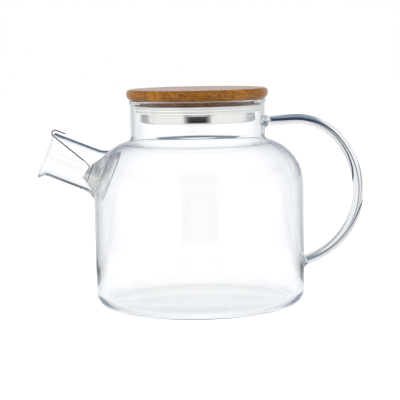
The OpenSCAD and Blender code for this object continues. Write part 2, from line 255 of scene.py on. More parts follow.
def depth(axes, up, side, inner):
    """How far along its axes the line at (up, side) meets the wall, found by halving the interval
    between a point that is surely inside the pot and one that is surely outside."""
    start = on_axes(axes, 0 * up, up, side)
    inside, outside, halvings = -32.0, 8.0, 48
    low, high = np.full(up.shape, inside), np.full(up.shape, outside)
    for _ in range(halvings):
        mid = (low + high) / 2
        p = start + mid[..., None] * axes[1]
        within = np.hypot(p[..., 0], p[..., 1]) < wall_radius(p[..., 2], inner)
        low = np.where(within, mid, low)
        high = np.where(within, high, mid)
    return (low + high) / 2


def border(ids, rows, columns):
    """The numbers round a window of a net, from its first row and column: along that row, over to
    the last row, and back."""
    a, b = rows
    step = 1 if b > a else -1
    there = np.arange(*columns) % ids.shape[1]
    back = np.arange(columns[1], columns[0], -1) % ids.shape[1]
    i = np.arange(a, b, step)
    down, up = ids[i, back[0]], ids[i + step, there[0]][::-1]
    return np.concatenate([ids[a, there], down, ids[b, back], up])


def angles_round(rim):
    """One angle for each point of a window's border, from its first corner and evenly round."""
    first_corner = 225
    return (first_corner - 360 * np.arange(len(rim)) / len(rim)) * DEG


def smooth_max(x, y, k):
    """The greater of x and y, rounded where they are closer than k."""
    h = np.clip(k - np.abs(x - y), 0, None) / k
    return np.maximum(x, y) + h * h * k / 4


def spread(axes, rim, turn, reach, steps, inner):
    """Rings on the wall that lead evenly from a window's border to a circle of radius reach."""
    origin, along, north, east = axes
    up0, side0 = (rim - origin) @ north, (rim - origin) @ east
    t = np.linspace(0, 1, steps + 1)[1:, None]
    up = up0 * (1 - t) + reach * np.cos(turn) * t
    side = side0 * (1 - t) + reach * np.sin(turn) * t
    return on_axes(axes, depth(axes, up, side, inner), up, side)


def collar_rings(axes, turn, bore, reach, steps, inner):
    """The collar: the wall and a cone about the spout's axis, whichever stands further out, with
    a round join that is wider below, and the cone bent into the tube by a quadratic curve."""
    t = np.linspace(0, 1, steps + 1)[1:, None]
    rho = bore + (reach - bore) * (1 - t) ** 2 + 0 * turn
    up, side = rho * np.cos(turn), rho * np.sin(turn)
    wall = depth(axes, up, side, inner)
    width = COLLAR_BEND * math.tan(COLLAR)
    u = 1 - np.sqrt(np.clip((rho - bore) / width, 0, 1))
    low, high = WELD - COLLAR_BEND, WELD + COLLAR_BEND
    curve = (1 - u) ** 2 * low + 2 * u * (1 - u) * WELD + u**2 * high
    cone = np.where(rho - bore < width, curve, WELD - (rho - bore) / math.tan(COLLAR))
    k = JOIN_TOP + JOIN_MORE_BELOW * (1 - np.cos(turn)) / 2 * np.ones_like(rho)
    return on_axes(axes, smooth_max(wall, cone, k), up, side)


def tube_rings(axes, turn, radius, away):
    """Rings of the spout's tube at the distances away: a cylinder that opens over the length of
    the lip, most at the bottom, with a low bead outside where the tube is fused on."""
    least, most = math.tan(LIP_TOP), math.tan(LIP_LOW)
    slope = least + (most - least) * ((1 - np.cos(turn)) / 2) ** 2.5
    x = away[:, None] - (MOUTH - LIP)
    opened = smooth_max(x, 0 * x, LIP_BEND)
    bead = BEAD_H * np.exp(-(((away[:, None] - BEAD_AT) / BEAD_W) ** 2)) if radius == SPOUT_R else 0
    rho = radius + slope * opened + bead
    return on_axes(axes, away[:, None] + 0 * turn, rho * np.cos(turn), rho * np.sin(turn))


def half_round(outer, inner, along, bulge, steps):
    """Rings over an edge between two rings of points: from the middle between them, cos of half a
    turn across and sin of it along, bulge times as deep as half the width."""
    t = np.linspace(0, math.pi, steps + 1)[1:-1, None, None]
    mid, half = (outer + inner) / 2, (outer - inner) / 2
    size = np.linalg.norm(half, axis=-1, keepdims=True)
    unit = half / size
    out = along - (unit @ along)[:, None] * unit
    out = out / np.linalg.norm(out, axis=-1, keepdims=True)
    return mid + half * np.cos(t) + bulge * size * out * np.sin(t)


def biarc(p, u, q, v):
    """Joint and centres of two arcs that lead from p, heading u, to q, heading v, and touch where
    they meet: both ends of the joint's tangent are as long as d."""
    w = q - p
    k, s = 2 * (1 - u @ v), w @ (u + v)
    d = (math.sqrt(s * s + k * (w @ w)) - s) / k
    m = (p + q + d * (u - v)) / 2

    def centre(a, heading, b):
        """Centre of the arc from a to b that leaves a along heading."""
        n = np.array([-heading[1], heading[0]])
        c = b - a
        return a + n * (c @ c) / (2 * (n @ c))

    return m, centre(p, u, m), centre(q, v, m)


def clockwise(p, q, c, steps):
    """Points and headings on the clockwise arc from p to q round c."""
    a = math.atan2(*(p - c)[::-1])
    b = math.atan2(*(q - c)[::-1])
    b -= 2 * math.pi * math.ceil((b - a) / (2 * math.pi))
    t = np.linspace(a, b, steps + 1)[1:]
    r = np.linalg.norm(p - c)
    return np.stack([c[0] + r * np.cos(t), c[1] + r * np.sin(t), np.sin(t), -np.cos(t)], axis=-1)


def rod_line():
    """The handle's centre line in XZ with its headings: a short straight, then four arcs."""
    out = np.array([math.cos(RISE), math.sin(RISE)])
    back = -np.array([math.cos(SLOPE), math.sin(SLOPE)])
    down = np.array([0.0, -1.0])
    top = np.array([NECK_R, HANDLE_TOP]) + GATHER_H * out
    turn = top + ROD_STRAIGHT * out
    foot = np.array([LOW_WALL_R, HANDLE_LOW]) - GATHER_H * back
    m1, c1, c2 = biarc(turn, out, HANDLE_SIDE, down)
    m2, c3, c4 = biarc(HANDLE_SIDE, down, foot, back)
    straight = line(top, turn, 8)
    return np.vstack(
        [
            np.hstack([straight, np.tile(out, (len(straight), 1))]),
            clockwise(turn, m1, c1, 26),
            clockwise(m1, HANDLE_SIDE, c2, 26),
            clockwise(HANDLE_SIDE, m2, c3, 24),
            clockwise(m2, foot, c4, 26),
        ]
    )


def gather_rings(axes, turn, spread_to, steps):
    """A gather: a quadratic curve from the wall at spread_to, which leaves the wall along it and
    ends along the rod."""
    t = np.linspace(0, 1, steps + 1)[1:, None]
    hair = 0.05
    edge = np.full((1, turn.size), spread_to)
    near = edge - hair
    at = depth(axes, edge * np.cos(turn), edge * np.sin(turn), False)
    slope = (at - depth(axes, near * np.cos(turn), near * np.sin(turn), False)) / hair
    corner = at - slope * (spread_to - ROD_R)
    rho = (1 - t) ** 2 * spread_to + 2 * t * (1 - t) * ROD_R + t**2 * ROD_R
    away = (1 - t) ** 2 * at + 2 * t * (1 - t) * corner + t**2 * GATHER_H
    return on_axes(axes, away, rho * np.cos(turn), rho * np.sin(turn))


LOW_WALL_R = float(wall_radius(np.array([HANDLE_LOW]), False)[0])
C, S = math.cos(SPOUT_ANGLE), math.sin(SPOUT_ANGLE)
# Seen along the spout's axis, the glass runs round one way and the wire the other
SPOUT_AXES, WIRE_AXES = (axes_at(-BODY_R, SPOUT_Z, (-C, S), (S, C), side) for side in (-1, 1))
TOP_WAY, TOP_UP = (math.cos(RISE), math.sin(RISE)), (-math.sin(RISE), math.cos(RISE))
LOW_WAY, LOW_UP = (math.cos(SLOPE), math.sin(SLOPE)), (math.sin(SLOPE), -math.cos(SLOPE))
TOP_AXES = axes_at(NECK_R, HANDLE_TOP, TOP_WAY, TOP_UP, 1)
LOW_AXES = axes_at(LOW_WALL_R, HANDLE_LOW, LOW_WAY, LOW_UP, 1)


def pot_profile():
    """The pot's profile from the middle of its underside, up the outside, over the rim, down the
    inside and back to the middle, and the first and last row of each part that has a name."""
    r = np.linspace(0, FOOT_IN, 11)
    base = np.stack([r, PUNT * (1 - (r / FOOT_IN) ** 2)], axis=-1)
    end = SHOULDER_Z + SHOULDER_R * math.sin(SHOULDER_END)
    end_in = SHOULDER_Z + (SHOULDER_R - WALL) * math.sin(SHOULDER_END)
    t = np.linspace(0, 1, 9)
    flare_z = RIM_Z - RIM_ROUND - FLARE_H * (1 - t)
    flare = np.stack([NECK_R + FLARE * t * t, flare_z], axis=-1)
    inner_flare = flare[::-1] - [WALL, 0]
    deg = 180 / math.pi * SHOULDER_END
    low_in = BOTTOM + CORNER_R - WALL
    low, high = LOW_ROWS
    top_low, top_high = HANDLE_TOP - TOP_HALF_ROWS, HANDLE_TOP + TOP_HALF_ROWS
    parts, marks, n = [], {}, 0
    for rows, name in (
        (base[1:], None),
        (line([FOOT_IN, 0], [CORNER_C, 0], 2), None),
        (arc(CORNER_C, CORNER_R, CORNER_R, -90, 0, 10), None),
        (wall_rows(CORNER_R, low, 2, False), None),
        (wall_rows(low, high, 18, False), "low"),
        (wall_rows(high, SPOUT_ROWS[0], 10, False), None),
        (wall_rows(*SPOUT_ROWS, 28, False, even=True), "spout"),
        (wall_rows(SPOUT_ROWS[1], end, 1, False), None),
        (arc(FILLET_C, FILLET_Z, FILLET, 180 + deg, 180, 8), None),
        (line([NECK_R, FILLET_Z], [NECK_R, top_low], 1), None),
        (line([NECK_R, top_low], [NECK_R, top_high], 18), "top"),
        (line([NECK_R, top_high], flare[0], 2), None),
        (flare, None),
        (arc(NECK_R + FLARE - RIM_ROUND, RIM_Z - RIM_ROUND, RIM_ROUND, 0, 180, 14), None),
        (inner_flare, None),
        (line(inner_flare[-1], [NECK_R - WALL, FILLET_Z], 18), "top_bulge"),
        (arc(FILLET_C, FILLET_Z, FILLET + WALL, 180, 180 + deg, 8), None),
        (wall_rows(end_in, SPOUT_ROWS_IN[1], 1, True), None),
        (wall_rows(*SPOUT_ROWS_IN[::-1], 28, True, even=True), "bore"),
        (wall_rows(SPOUT_ROWS_IN[0], high, 8, True), None),
        (wall_rows(high, low, 18, True), "low_bulge"),
        (wall_rows(low, low_in, 2, True), None),
        (arc(CORNER_C, low_in, CORNER_R - WALL, 0, -90, 8), None),
        (line([CORNER_C, BOTTOM], [FOOT_IN, BOTTOM], 2), None),
        (base[:0:-1] + [0, BOTTOM], None),
    ):
        # Each part after the first starts at the last row of the one before
        parts.append(rows[1:] if parts else rows)
        first = max(n - 1, 0)
        n += len(parts[-1])
        if name:
            marks[name] = (first, n - 1)
    return np.vstack(parts), marks


def glass_skin():
    """The whole glass as one closed skin: the pot outside and inside, with a window on each side
    of the wall for the spout and two on the outside for the handle."""
    columns = 256
    profile, marks = pot_profile()
    points = revolve(profile, columns)

    # Fusing the handle leaves a low bulge on the inner wall, about 10 mm across:
    # its height falls off as e to the minus fourth power of the distance from the rod's axis
    other_side = 99
    for name, z in (("top_bulge", HANDLE_TOP), ("low_bulge", HANDLE_LOW)):
        part = points[marks[name][0] : marks[name][1] + 1]
        far = np.where(part[..., 0] > 0, np.hypot(part[..., 1], part[..., 2] - z), other_side)
        rise = BULGE_H * np.exp(-((far / BULGE_R) ** 4))
        radius = np.hypot(part[..., 0], part[..., 1])
        part[..., 0] *= 1 - rise / radius
        part[..., 1] *= 1 - rise / radius

    skin = Skin()
    ids = skin.add(points)
    flat = points.reshape(-1, 3)
    middle = columns // 2
    spout_cols = (middle - SPOUT_HALF, middle + SPOUT_HALF)
    handle_cols = (-HANDLE_HALF, HANDLE_HALF)
    windows = {"spout": spout_cols, "bore": spout_cols, "low": handle_cols, "top": handle_cols}
    hole = np.zeros((len(profile) - 1, columns), bool)
    for name, cols in windows.items():
        hole[slice(*marks[name]), np.arange(*cols) % columns] = True
    skin.net(ids, hole=hole)
    skin.cap(ids[0], [0, 0, PUNT], inwards=True)
    skin.cap(ids[-1], [0, 0, PUNT + BOTTOM])

    # Spout: outside from the wall to the mouth, over its edge, and back inside to the wall
    outer_rim = border(ids, marks["spout"], spout_cols)
    inner_rim = border(ids, marks["bore"][::-1], spout_cols)
    turn = angles_round(outer_rim)
    lip_start = MOUTH - LIP - LIP_LEAD
    tube = np.linspace(WELD + COLLAR_BEND, lip_start, 18)
    lip = np.linspace(lip_start, MOUTH - EDGE_H, 13)
    away = np.concatenate([tube[1:], lip[1:]])
    sides = []
    for rim, radius, reach, inner in (
        (outer_rim, SPOUT_R, COLLAR_REACH, False),
        (inner_rim, BORE_R, COLLAR_REACH_IN, True),
    ):
        on_wall = spread(SPOUT_AXES, flat[rim], turn, reach, 7, inner)
        collar = collar_rings(SPOUT_AXES, turn, radius, reach, 26, inner)
        sides.append(np.concatenate([on_wall, collar, tube_rings(SPOUT_AXES, turn, radius, away)]))
    outside, inside = sides
    edge = half_round(outside[-1], inside[-1], SPOUT_AXES[1], EDGE_BULGE, 10)
    # The net steps over the ring next to the inner window, straight to the window's border
    rings = np.concatenate([outside, edge, inside[::-1]])
    new = skin.add(rings[:-1])
    skin.net(np.vstack([outer_rim, new, inner_rim]))

    # Handle: from the neck over its gather, along the rod, and over the lower gather to the wall
    top_rim = border(ids, marks["top"], handle_cols)
    foot_rim = border(ids, marks["low"][::-1], handle_cols)
    turn = angles_round(top_rim)
    rod = rod_line()
    x, z, out, climb = rod.T
    north = np.stack([-climb, 0 * x, out], axis=-1)
    centre = np.stack([x, 0 * x, z], axis=-1)
    across = ROD_R * np.cos(turn)[None, :, None] * north[:, None]
    rod_rings = centre[:, None] + across + ROD_R * np.sin(turn)[None, :, None] * TOP_AXES[3]
    ends = []
    for axes, rim, reach, steps in (
        (TOP_AXES, top_rim, TOP_GATHER_R, 4),
        (LOW_AXES, foot_rim, LOW_GATHER_R, 5),
    ):
        on_wall = spread(axes, flat[rim], turn, reach, steps, False)
        ends.append(np.concatenate([on_wall, gather_rings(axes, turn, reach, 14)[:-1]]))
    new = skin.add(np.concatenate([ends[0], rod_rings, ends[1][::-1]]))
    skin.net(np.vstack([top_rim, new, foot_rim]))
    return skin


def wire_line():
    """The wire's centre line in the spout's axes as (up, side, away): a coil whose radius and
    place follow a quadratic curve, leaned back towards its small end, then a straight tail and a
    hook, an arc that the tail runs into."""
    steps = 44
    slope, steep = math.tan(COLLAR), math.tan(COIL_STEEP)
    weld_r = BORE_R - (WIRE_GAP + WIRE_R) / math.cos(COLLAR)
    first = np.array([weld_r + COIL_BELOW * slope, WELD - COIL_BELOW])
    last = np.array([COIL_TIP_R, WELD + COIL_ABOVE])
    bend_z = (last[0] + steep * last[1] - weld_r - slope * WELD) / (steep - slope)
    bend = np.array([weld_r + slope * (WELD - bend_z), bend_z])
    t = np.linspace(0, 1, COIL_TURNS * steps + 1)[:, None]
    rz = (1 - t) ** 2 * first + 2 * t * (1 - t) * bend + t * t * last
    t = t[:, 0]
    a = (COIL_START - 360 * COIL_TURNS * (1 - t)) * DEG
    up = rz[:, 0] * np.cos(a) - COIL_SHIFT * t**3
    side = rz[:, 0] * np.sin(a)
    away = rz[:, 1] - rz[:, 0] * np.cos(a) * np.tan(COIL_TILT * t * t)
    coil = np.stack([up, side, away], axis=-1)

    root = np.array([last[1] - COIL_TIP_R * math.tan(COIL_TILT) + TAIL_RAISE, TAIL_UP])
    hook_c = np.array([MOUTH - HOOK_IN, BORE_R - WIRE_GAP - WIRE_R + HOOK_R])
    span = hook_c - root
    angle = math.atan2(span[1], span[0]) - math.asin(HOOK_R / np.linalg.norm(span))
    along = np.array([math.sin(angle), 0, math.cos(angle)])
    tail = np.array([root[1], 0, root[0]]) + TAIL_BEND * along
    heading = coil[-1] - coil[-2]
    heading /= np.linalg.norm(heading)
    gap = np.linalg.norm(tail - coil[-1])
    s = np.linspace(0, 1, 12)[1:-1, None]
    first_leg = (1 - s) * (coil[-1] + heading * gap * s / 2) + s * tail
    second_leg = (1 - s) * coil[-1] + s * (tail - along * gap * (1 - s) / 2)
    join = (1 - s) * first_leg + s * second_leg
    b = np.linspace(angle - math.pi / 2, math.pi / 2, 25)
    hook_up, hook_away = hook_c[1] + HOOK_R * np.sin(b), hook_c[0] + HOOK_R * np.cos(b)
    hook = np.stack([hook_up, 0 * b, hook_away], axis=-1)
    straight = np.linspace(tail, hook[0], 14)[1:-1]
    leg = np.linspace(hook[-1], hook[-1] - [0, 0, HOOK_LEG], 6)[1:]
    return np.vstack([coil, join, tail, straight, hook, leg])


def sweep(path, radius, sides):
    """A round wire along a path: each ring is the path's point plus the radius times cos and sin
    on two directions across, carried along without twist, with both ends domed by two rings."""
    tangent = np.gradient(path, axis=0)
    tangent /= np.linalg.norm(tangent, axis=1, keepdims=True)
    normal = np.empty_like(path)
    # Each ring's direction across is the one before it, made square to the path there
    v = np.cross(tangent[0], [0, 0, 1.0])
    for i, d in enumerate(tangent):
        v = v - (v @ d) * d
        v = v / np.linalg.norm(v)
        normal[i] = v
    other = np.cross(tangent, normal)
    turn = np.arange(sides) * 2 * math.pi / sides
    dome = np.array([60, 30]) * DEG
    before = path[0] - tangent[0] * radius * np.sin(dome)[:, None]
    after = path[-1] + tangent[-1] * radius * np.sin(dome[::-1])[:, None]
    centre = np.vstack([before, path, after])
    closing = radius * np.cos(dome)
    size = np.concatenate([closing, np.full(len(path), radius), closing[::-1]])
    normal, other = (np.vstack([w[:1], w[:1], w, w[-1:], w[-1:]]) for w in (normal, other))
    cos, sin = np.cos(turn)[None, :, None], np.sin(turn)[None, :, None]
    rings = centre[:, None] + size[:, None, None] * (cos * normal[:, None] + sin * other[:, None])
    return rings, (path[0] - tangent[0] * radius, path[-1] + tangent[-1] * radius)


# ---------- materials ----------


def linear(code, strength=1.0):
    """An sRGB hex colour as linear RGBA, made brighter by strength."""
    v = np.array([int(code[i : i + 2], 16) for i in (1, 3, 5)]) / 255
    v = np.where(v <= 0.04045, v / 12.92, ((v + 0.055) / 1.055) ** 2.4) * strength
    return (*v.tolist(), 1.0)


def per_metre(*sizes):
    """A pattern's scale from its real sizes in millimetres."""
    return tuple(1 / (size * MM) for size in sizes)


# Settings that many nodes share
PLUS = {"operation": "ADD"}
TIMES = {"operation": "MULTIPLY"}
TIMES_PLUS = {"operation": "MULTIPLY_ADD"}
OVER = {"operation": "DIVIDE"}
ROOT = {"operation": "SQRT"}
SIZE_OF = {"operation": "ABSOLUTE"}
LARGER = {"operation": "MAXIMUM"}
SMALLER = {"operation": "MINIMUM"}
MORE_THAN = {"operation": "GREATER_THAN"}
COLOURS = {"data_type": "RGBA"}
SMOOTHLY = {"interpolation_type": "SMOOTHSTEP"}
LINEWISE = {"noise_dimensions": "1D"}
SQUARE_CELLS = {"distance": "CHEBYCHEV"}


def add_node(tree, kind, settings=None, *inputs, **named):
    """Adds a node of a kind with its settings, which are properties, or a colour ramp's stops as
    (place, sRGB hex). Its inputs come in their order, by number as _6, or by name with _ for a
    space. Each is a value, a socket, or a node, which stands for its first output in use."""
    made = tree.nodes.new("ShaderNode" + kind)
    for key, value in (settings or {}).items():
        if key != "stops":
            setattr(made, key, value)
            continue
        elements = made.color_ramp.elements
        while len(elements) < len(value):
            elements.new(0.5)
        for element, (place, code) in zip(elements, value):
            element.position = place
            element.color = linear(code)
    wanted = dict(enumerate(inputs))
    for key, value in named.items():
        wanted[int(key[1:]) if key[1:].isdigit() else key.replace("_", " ")] = value
    for key, value in wanted.items():
        if isinstance(value, bpy.types.Node):
            value = next(output for output in value.outputs if output.enabled)
        if isinstance(value, bpy.types.NodeSocket):
            tree.links.new(value, made.inputs[key])
        else:
            made.inputs[key].default_value = value
    return made


def new_material(name):
    """A material with an empty node tree."""
    material = bpy.data.materials.new(name)
    material.use_nodes = True
    material.node_tree.nodes.clear()
    return material, material.node_tree


def borosilicate_glass():
    """Blown borosilicate, fire polished: clear and smooth, with a faint grey-green where the eye
    looks along the wall, partly the glass's own tint and partly painted shade on its edges."""
    material, tree = new_material("blown_borosilicate_glass")
    # More than three times thrown back, or nine times met by glass in all
    thrown_often, met_often = 3.5, 9.5
    facing = add_node(tree, "LayerWeight", Blend=0.5).outputs["Facing"]
    # Partly painted shade: the glass is tinted darker the more edge-on the wall is seen. This
    # stands for its own colour over the long way through, and for the dark surroundings that real
    # edges show.
    edge_tint_and_shade = (
        (0.1, "#FFFFFF"),
        (0.4, "#FCFDFF"),
        (0.65, "#FAFBFD"),
        (0.8, "#EFF2F3"),
        (0.92, "#D3D8DA"),
    )
    glass = add_node(
        tree,
        "BsdfPrincipled",
        Base_Color=add_node(tree, "ValToRGB", {"stops": edge_tint_and_shade}, facing),
        Roughness=0.0,
        IOR=1.47,
        Transmission_Weight=1.0,
    )
    clear = add_node(tree, "BsdfTransparent", Color=linear("#FBFCFC"))
    # The lamps' light passes straight through, and so does light that has been thrown about
    # inside the glass for long enough
    path = add_node(tree, "LightPath").outputs
    lamp = add_node(tree, "Math", LARGER, path["Is Shadow Ray"], path["Is Diffuse Ray"])
    thrown = add_node(tree, "Math", MORE_THAN, path["Glossy Depth"], thrown_often)
    met = add_node(tree, "Math", MORE_THAN, path["Ray Depth"], met_often)
    lost = add_node(tree, "Math", LARGER, thrown, met)
    passing = add_node(tree, "Math", LARGER, lamp, lost)
    both = add_node(tree, "MixShader", None, passing, glass, clear)
    # Iron in the glass takes out some red over the long way through a wall seen edge on
    dim = add_node(tree, "VolumeAbsorption", Color=linear("#E7EFF1"), Density=10.0)
    add_node(tree, "OutputMaterial", Surface=both, Volume=dim)
    return material


def caramelised_bamboo():
    """Laminated bamboo, steamed to a caramel brown, turned and oiled: straight fibres along X in
    strips with a shade of their own, under a thin coat of oil that softens the shine."""
    material, tree = new_material("caramelised_bamboo")
    place = add_node(tree, "TexCoord").outputs["Object"]
    # Glued strips 250 mm long, 6 mm wide and 20 mm deep
    at = add_node(tree, "Mapping", Vector=place, Scale=per_metre(250, 6, 20))
    strip = add_node(tree, "TexVoronoi", SQUARE_CELLS, Vector=at, Scale=1.0, Randomness=0.0)
    shade = add_node(tree, "SeparateColor", Color=strip.outputs["Color"])
    # Fibre bundles run for 30 mm. They are 0.4 mm thick, drawn twice as coarse so that they show.
    at = add_node(tree, "Mapping", Vector=place, Scale=per_metre(30, 0.8, 0.8))
    fibre = add_node(tree, "TexNoise", Vector=at, Scale=1.0, Detail=3.0, Roughness=0.6)
    # Sugar browns in spots 3 mm long and 1.4 mm thick
    at = add_node(tree, "Mapping", Vector=place, Scale=per_metre(3, 1.4, 1.4))
    spots = add_node(tree, "TexNoise", Vector=at, Scale=1.0, Detail=2.0)
    lowest, fibre_share, strip_share, spot_share = -0.5, 1.1, 0.3, 0.8
    tone = add_node(tree, "Math", TIMES_PLUS, fibre, fibre_share, lowest)
    tone = add_node(tree, "Math", TIMES_PLUS, shade, strip_share, tone)
    tone = add_node(tree, "Math", TIMES_PLUS, spots, spot_share, tone)
    # Painted shade: the plug under the disc is darkened, for the lid's shadow on it
    height = add_node(tree, "SeparateXYZ", Vector=place).outputs[2]
    under = {"From_Min": (DISC_Z - 0.6) * MM, "From_Max": DISC_Z * MM}
    painted_lid_shade = add_node(tree, "MapRange", Value=height, To_Min=-0.1, To_Max=0.0, **under)
    tone = add_node(tree, "Math", PLUS, tone, painted_lid_shade)
    brown = {"stops": ((0.15, "#452100"), (0.9, "#AC6E1A"))}
    wood = add_node(
        tree,
        "BsdfPrincipled",
        Base_Color=add_node(tree, "ValToRGB", brown, tone),
        Roughness=add_node(tree, "MapRange", Value=fibre, To_Min=0.3, To_Max=0.42),
        Normal=add_node(tree, "Bump", Height=fibre, Strength=0.25, Distance=0.1 * MM),
        IOR=1.5,
        Specular_IOR_Level=0.25,
        Coat_Weight=0.5,
        Coat_IOR=1.25,
        Coat_Roughness=0.2,
    )
    add_node(tree, "OutputMaterial", Surface=wood)
    return material


def moulded_silicone():
    """Food-grade silicone, moulded: milky and soft-edged, it lets some light through, and its
    skin is a little uneven in gloss."""
    material, tree = new_material("moulded_silicone")
    place = add_node(tree, "TexCoord").outputs["Object"]
    # The mould's skin varies over 2.5 mm
    noise = add_node(tree, "TexNoise", Vector=place, Scale=per_metre(2.5)[0], Detail=2.0)
    rubber = add_node(
        tree,
        "BsdfPrincipled",
        Base_Color=linear("#FEFEFC"),
        Roughness=add_node(tree, "MapRange", Value=noise, To_Min=0.35, To_Max=0.5),
        IOR=1.41,
        Subsurface_Weight=0.1,
        Subsurface_Scale=2 * MM,
    )
    add_node(tree, "OutputMaterial", Surface=rubber)
    return material


def pressed_stainless():
    """Stainless sheet, deep drawn and polished on a lathe: mirror-like, with faint rings round the
    axis that blur the reflection."""
    material, tree = new_material("pressed_stainless_steel")
    place = add_node(tree, "TexCoord").outputs["Object"]
    height = add_node(tree, "SeparateXYZ", Vector=place).outputs[2]
    # Polishing rings 0.15 mm apart
    ring = add_node(tree, "Math", TIMES, height, per_metre(0.15)[0])
    wave = add_node(tree, "TexNoise", LINEWISE, W=ring, Scale=1.0, Detail=2.0)
    metal = add_node(
        tree,
        "BsdfPrincipled",
        Base_Color=linear("#EFEEEA"),
        Metallic=1.0,
        Roughness=add_node(tree, "MapRange", Value=wave, To_Min=0.06, To_Max=0.12),
        Normal=add_node(tree, "Bump", Height=wave, Strength=0.06, Distance=0.05 * MM),
    )
    add_node(tree, "OutputMaterial", Surface=metal)
    return material


def drawn_wire():
    """Stainless wire, drawn and wound: bright, with fine lengthways scratches that soften it."""
    material, tree = new_material("drawn_stainless_wire")
    place = add_node(tree, "TexCoord").outputs["Object"]
    x, _, z = add_node(tree, "SeparateXYZ", Vector=place).outputs
    # Scratches and dull spots about 0.5 mm across
    noise = add_node(tree, "TexNoise", Vector=place, Scale=per_metre(0.5)[0], Detail=2.0)
    # Painted highlights and shade on the coil: bands every 2 mm or so down its axis run from dark
    # olive to near white, for the glints and dark lines between the turns
    down = add_node(tree, "Math", TIMES_PLUS, x, C, add_node(tree, "Math", TIMES, z, -S))
    down = add_node(tree, "Math", OVER, down, MM)
    turn = add_node(tree, "TexNoise", LINEWISE, W=down, Scale=1.0, Detail=1.0)
    painted_glint_stops = ((0.34, "#6E6C60"), (0.4, "#CFCEC4"), (0.5, "#FFFFFD"))
    bright = add_node(tree, "ValToRGB", {"stops": painted_glint_stops}, turn)
    # The straight tail and the hook are coloured dark grey. The tail points along tail_x and
    # tail_z, and starts between these distances from the origin that way.
    tail_x, tail_z, tail_from, tail_to = -0.777, 0.629, 115.5 * MM, 117.5 * MM
    out = add_node(tree, "Math", TIMES_PLUS, z, tail_z, add_node(tree, "Math", TIMES, x, tail_x))
    drawn = add_node(tree, "MapRange", Value=out, From_Min=tail_from, From_Max=tail_to)
    metal = add_node(
        tree,
        "BsdfPrincipled",
        Base_Color=add_node(tree, "Mix", COLOURS, drawn, _6=bright, _7=linear("#383733")),
        Metallic=1.0,
        Roughness=add_node(tree, "MapRange", Value=noise, To_Min=0.1, To_Max=0.2),
    )
    add_node(tree, "OutputMaterial", Surface=metal)
    return material


# ---------- pieces ----------

ROUND = 192
WIRE_SIDES = 12
POT_NODES = ("glass_bottom", "glass_wall", "glass_shoulder", "glass_neck")
SPOUT_AND_HANDLE = ("spout_tube", "handle_rod", "upper_handle_gather", "lower_handle_gather")

make_piece(
    "blown_glass_pot",
    glass_skin(),
    borosilicate_glass(),
    "pot",
    "glass",
    POT_NODES + SPOUT_AND_HANDLE,
    crease=180,
)

core_low = CAP_Z + CAP_T + GAP
core_edge = CAP_EDGE - CAP_T
disc_top = DISC_Z + LID_T
lid_profile = joined(
    line([0, core_low], [CORE_R - core_edge, core_low], 6),
    arc(CORE_R - core_edge, core_low + core_edge, core_edge, -90, 0, 6),
    line([CORE_R, core_low + core_edge], [CORE_R, GROOVE_LOW], 3),
    line([CORE_R, GROOVE_LOW], [GROOVE_R, GROOVE_LOW], 2),
    line([GROOVE_R, GROOVE_LOW], [GROOVE_R, GROOVE_TOP], 3),
    line([GROOVE_R, GROOVE_TOP], [PLUG_R, GROOVE_TOP], 2),
    line([PLUG_R, GROOVE_TOP], [PLUG_R, DISC_Z], 3),
    line([PLUG_R, DISC_Z], [LID_R - LID_UNDER[0], DISC_Z], 4),
    oval(LID_R - LID_UNDER[0], DISC_Z + LID_UNDER[1], *LID_UNDER, -90, 0, 14),
    line([LID_R, DISC_Z + LID_UNDER[1]], [LID_R, disc_top - LID_EDGE], 1),
    arc(LID_R - LID_EDGE, disc_top - LID_EDGE, LID_EDGE, 0, 90, 12),
    line([LID_R - LID_EDGE, disc_top], [0, disc_top], 12),
)
bamboo = caramelised_bamboo()
turned_piece("turned_bamboo_lid", lid_profile, ROUND, bamboo, "lid", "bamboo", ("bamboo_lid",), 40)

seal_low = GROOVE_LOW + GAP
body_in, fin_out = GROOVE_R + GAP, NECK_R - WALL - GAP
body_out = fin_out - FIN_L
seal_profile = [line([body_in, seal_low + SEAL_H], [body_in, seal_low], 4)]
for i in range(3):
    base = seal_low + i * (SEAL_H - FIN_T) / 2
    taper_r = fin_out - FIN_TAPER
    seal_profile += [
        line([body_out, base], [taper_r, base + FIN_TIP_T[0]], 3),
        arc(fin_out - FIN_TIP_R, base + FIN_T / 2, FIN_TIP_R, -90, 90, 6),
        line([taper_r, base + FIN_TIP_T[1]], [body_out, base + FIN_T], 3),
    ]
seal_profile = np.vstack(seal_profile)
rubber, slot = moulded_silicone(), "silicone"
turned_piece("moulded_silicone_seal", seal_profile, ROUND, rubber, "seal", slot, ("lid_seal",), 40)

cap_in, cap_top = CAP_R - CAP_EDGE, GROOVE_LOW - CAP_ROUND
cap_profile = joined(
    line([0, CAP_Z], [cap_in, CAP_Z], 10),
    arc(cap_in, CAP_Z + CAP_EDGE, CAP_EDGE, -90, 0, 10),
    line([CAP_R, CAP_Z + CAP_EDGE], [CAP_R, cap_top], 4),
    arc(CAP_R - CAP_ROUND, cap_top, CAP_ROUND, 0, 180, 8),
    line([CAP_R - CAP_T, cap_top], [CAP_R - CAP_T, CAP_Z + CAP_EDGE], 3),
    arc(cap_in, CAP_Z + CAP_EDGE, CAP_EDGE - CAP_T, 0, -90, 6),
    line([cap_in, CAP_Z + CAP_T], [0, CAP_Z + CAP_T], 6),
)
steel, slot = pressed_stainless(), "cap_steel"
turned_piece("pressed_steel_cap", cap_profile, ROUND, steel, "lid", slot, ("lid_steel_cap",), 60)

